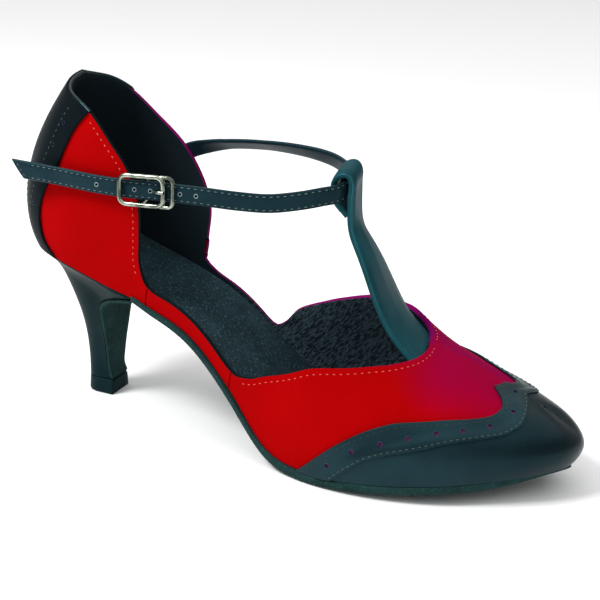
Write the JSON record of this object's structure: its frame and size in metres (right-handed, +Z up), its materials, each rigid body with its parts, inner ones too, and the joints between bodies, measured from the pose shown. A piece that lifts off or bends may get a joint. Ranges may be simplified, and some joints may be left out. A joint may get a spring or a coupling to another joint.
{
  "type": "latin dance shoe",
  "caption": "Closed-toe T-strap dance shoe with a winged toe cap, open waist, buckled ankle strap and a flared high heel.",
  "frame": {"origin": "middle of the shoe's outline on the floor, under its bounding box", "axes": "+X from heel to toe, +Y to the inner (medial) side of the foot, +Z up"},
  "size_m": [0.2238, 0.0764, 0.1292],
  "materials": {
    "red_suede": "suede nap, black lining inside",
    "black_leather": "smooth, semi-gloss, faint teal tint",
    "black_suede": "suede nap",
    "sole_suede": "split suede, matt",
    "heel_cover": "smooth covered heel, semi-gloss",
    "hard_black": "satin",
    "nickel": "bright"
  },
  "bodies": {
    "root": {"upper": "red_suede", "toe_cap": "black_leather", "back_strip": "black_leather", "insole": "black_suede", "outsole": "sole_suede", "heel": "heel_cover", "heel_top_piece": "hard_black", "breast_flap": "sole_suede", "t_strap": "black_leather", "ankle_strap": "black_leather", "buckle_frame": "nickel", "buckle_prong": "nickel", "buckle_tab": "black_leather"}
  },
  "joints": []
}
